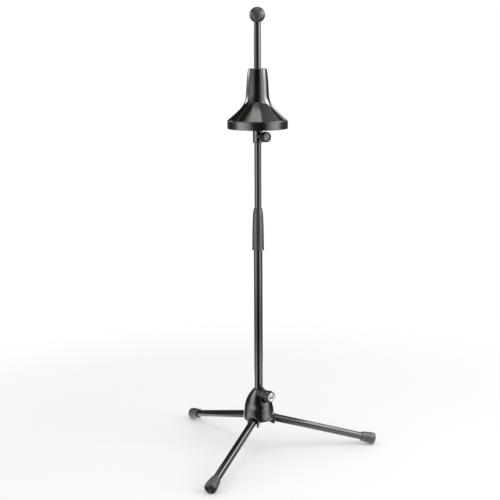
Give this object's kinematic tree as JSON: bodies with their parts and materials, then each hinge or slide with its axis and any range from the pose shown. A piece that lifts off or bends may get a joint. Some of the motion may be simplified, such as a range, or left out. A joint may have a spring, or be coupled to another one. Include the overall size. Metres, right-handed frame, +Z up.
{
  "type": "bass trombone stand",
  "caption": "Folding floor stand with a tripod base, a telescoping post and a round bell cone that holds a trombone upright.",
  "frame": {"origin": "on the floor, under the centre of the stand's bounding box", "axes": "+Z up along the post; leg 1 points to -Y, leg 2 to +X and +Y, leg 3 to -X and +Y; both side knobs point to +X and -Y"},
  "size_m": [0.5112, 0.446, 1.0574],
  "materials": {
    "gloss_black_plastic": "polished, lightly scuffed",
    "black_enamelled_steel": "gloss enamel",
    "black_plastic": "satin",
    "grip_plastic": "fine grain",
    "grey_plastic": "satin",
    "rubber": "matt",
    "black_nylon": "moulded satin",
    "zinc_plated_steel": "plated",
    "brass": "turned",
    "chrome": "bright plated"
  },
  "bodies": {
    "base": {"base_socket": "gloss_black_plastic", "lock_insert": "brass", "leg_1_pin": "zinc_plated_steel", "leg_2_pin": "zinc_plated_steel", "leg_3_pin": "zinc_plated_steel"},
    "leg_1": {"leg_1_tube": "black_enamelled_steel", "leg_1_heel": "black_nylon", "leg_1_foot": "rubber"},
    "leg_2": {"leg_2_tube": "black_enamelled_steel", "leg_2_heel": "black_nylon", "leg_2_foot": "rubber"},
    "leg_3": {"leg_3_tube": "black_enamelled_steel", "leg_3_heel": "black_nylon", "leg_3_foot": "rubber"},
    "lock_pad": {"lock_pad": "brass"},
    "lock_knob": {"lock_knob": "black_plastic", "lock_knob_cap": "chrome", "lock_screw": "zinc_plated_steel"},
    "bush": {"socket_bush": "black_nylon"},
    "mast": {"lower_tube": "black_enamelled_steel", "spreader": "black_nylon", "clutch_ferrule": "black_nylon"},
    "collet": {"clutch_collet": "black_nylon"},
    "sleeve": {"clutch_sleeve": "grip_plastic"},
    "guide": {"rod_guide": "black_nylon"},
    "rod": {"upper_rod": "black_enamelled_steel", "ball_tip": "rubber"},
    "liner": {"cone_liner": "black_nylon"},
    "cone": {"bell_cone": "gloss_black_plastic", "cone_spider": "black_nylon", "clamp_sleeve": "gloss_black_plastic", "cone_circlip": "zinc_plated_steel", "cone_top_bush": "black_nylon", "clamp_insert": "brass"},
    "clamp_pad": {"clamp_pad": "brass"},
    "clamp_knob": {"clamp_knob": "black_plastic", "clamp_knob_cap": "grey_plastic", "clamp_screw": "zinc_plated_steel"}
  },
  "joints": [
    {"name": "leg_1_fold", "type": "hinge", "parent": "base", "child": "leg_1", "pos_m": [0, 0.04122, 0.08467], "axis": [1, 0, 0], "range_deg": [0, 74]},
    {"name": "leg_2_fold", "type": "hinge", "parent": "base", "child": "leg_2", "pos_m": [0.02338, 0.08172, 0.08467], "axis": [-0.5, 0.866, 0], "range_deg": [0, 74]},
    {"name": "leg_3_fold", "type": "hinge", "parent": "base", "child": "leg_3", "pos_m": [-0.02338, 0.08172, 0.08467], "axis": [-0.5, -0.866, 0], "range_deg": [0, 74]},
    {"name": "lock_pad_slide", "type": "slide", "parent": "base", "child": "lock_pad", "axis": [0.866, -0.5, 0], "range_m": [0, 0.0025]},
    {"name": "lock_knob_turn", "type": "hinge", "parent": "lock_pad", "child": "lock_knob", "pos_m": [0.03204, 0.04972, 0.14647], "axis": [0.866, -0.5, 0], "range_deg": [0, 720]},
    {"name": "post_turn", "type": "hinge", "parent": "base", "child": "bush", "pos_m": [0, 0.06822, 0.15], "axis": [0, 0, 1], "continuous": true},
    {"name": "post_lift", "type": "slide", "parent": "bush", "child": "mast", "axis": [0, 0, 1], "range_m": [0, 0.04]},
    {"name": "clutch_lift", "type": "slide", "parent": "mast", "child": "collet", "axis": [0, 0, 1], "range_m": [0, 0.0015]},
    {"name": "clutch_twist", "type": "hinge", "parent": "collet", "child": "sleeve", "pos_m": [0, 0.06822, 0.55], "axis": [0, 0, 1], "range_deg": [0, 180]},
    {"name": "rod_slide", "type": "slide", "parent": "mast", "child": "guide", "axis": [0, 0, 1], "range_m": [-0.1, 0.08]},
    {"name": "rod_turn", "type": "hinge", "parent": "guide", "child": "rod", "pos_m": [0, 0.06822, 0.5], "axis": [0, 0, 1], "continuous": true},
    {"name": "cone_slide", "type": "slide", "parent": "rod", "child": "liner", "axis": [0, 0, 1], "range_m": [-0.05, 0.095]},
    {"name": "cone_turn", "type": "hinge", "parent": "liner", "child": "cone", "pos_m": [0, 0.06822, 0.77], "axis": [0, 0, 1], "continuous": true},
    {"name": "clamp_pad_slide", "type": "slide", "parent": "cone", "child": "clamp_pad", "axis": [0.866, -0.5, 0], "range_m": [0, 0.002]},
    {"name": "clamp_knob_turn", "type": "hinge", "parent": "clamp_pad", "child": "clamp_knob", "pos_m": [0.01905, 0.05722, 0.76536], "axis": [0.866, -0.5, 0], "range_deg": [0, 720]}
  ],
  "couplings": [
    {"joint": "leg_1_fold", "follows": "post_lift", "rad_per_m": 32.2},
    {"joint": "leg_2_fold", "follows": "post_lift", "rad_per_m": 32.2},
    {"joint": "leg_3_fold", "follows": "post_lift", "rad_per_m": 32.2},
    {"joint": "lock_knob_turn", "follows": "lock_pad_slide", "rad_per_m": 5026.5},
    {"joint": "clutch_twist", "follows": "clutch_lift", "rad_per_m": 2094.4},
    {"joint": "clamp_knob_turn", "follows": "clamp_pad_slide", "rad_per_m": 6283.1}
  ]
}
